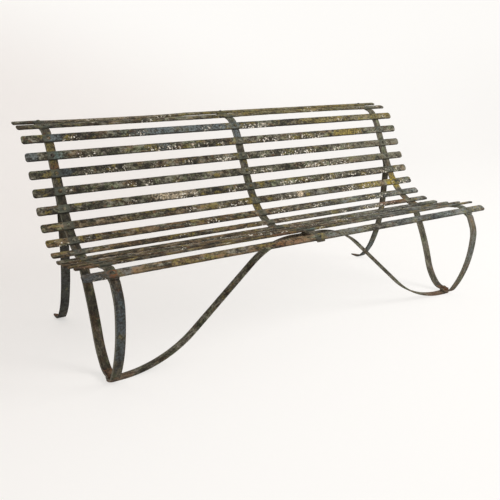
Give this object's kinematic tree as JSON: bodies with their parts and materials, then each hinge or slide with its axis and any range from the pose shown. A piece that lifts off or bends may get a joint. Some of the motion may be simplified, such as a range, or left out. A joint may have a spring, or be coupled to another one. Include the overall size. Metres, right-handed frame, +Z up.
{
  "type": "garden bench",
  "caption": "Long wrought iron garden bench: crowned flat slats riveted to S-curved straps, bowed legs and an arched front stretcher.",
  "frame": {"origin": "on the ground, midway between the ends of the slats and midway between the front and rear of the bench's box", "axes": "+X along the slats towards the sitter's left hand, which is the picture's right; the seat's front faces -Y; +Z up"},
  "size_m": [1.9, 0.8667, 0.8421],
  "materials": {
    "slats": "weathered grey-green paint with lichen, rust and chalky specks",
    "frame": "weathered dark grey-green paint with lichen and rust",
    "rivets": "weathered grey-green paint",
    "foot_rivets": "rusty brown over worn paint"
  },
  "bodies": {
    "root": {"slat_01": "slats", "slat_02": "slats", "slat_03": "slats", "slat_04": "slats", "slat_05": "slats", "slat_06": "slats", "slat_07": "slats", "slat_08": "slats", "slat_09": "slats", "slat_10": "slats", "slat_11": "slats", "slat_12": "slats", "slat_13": "slats", "slat_14": "slats", "slat_15": "slats", "left_frame_strap": "frame", "centre_frame_strap": "frame", "right_frame_strap": "frame", "left_front_leg": "frame", "right_front_leg": "frame", "left_front_strut": "frame", "right_front_strut": "frame", "left_rear_leg": "frame", "right_rear_leg": "frame", "stretcher": "frame", "left_slat_rivets": "rivets", "centre_slat_rivets": "rivets", "right_slat_rivets": "rivets", "left_leg_rivets": "rivets", "right_leg_rivets": "rivets", "stretcher_rivet": "rivets", "foot_rivets": "foot_rivets"}
  },
  "joints": []
}
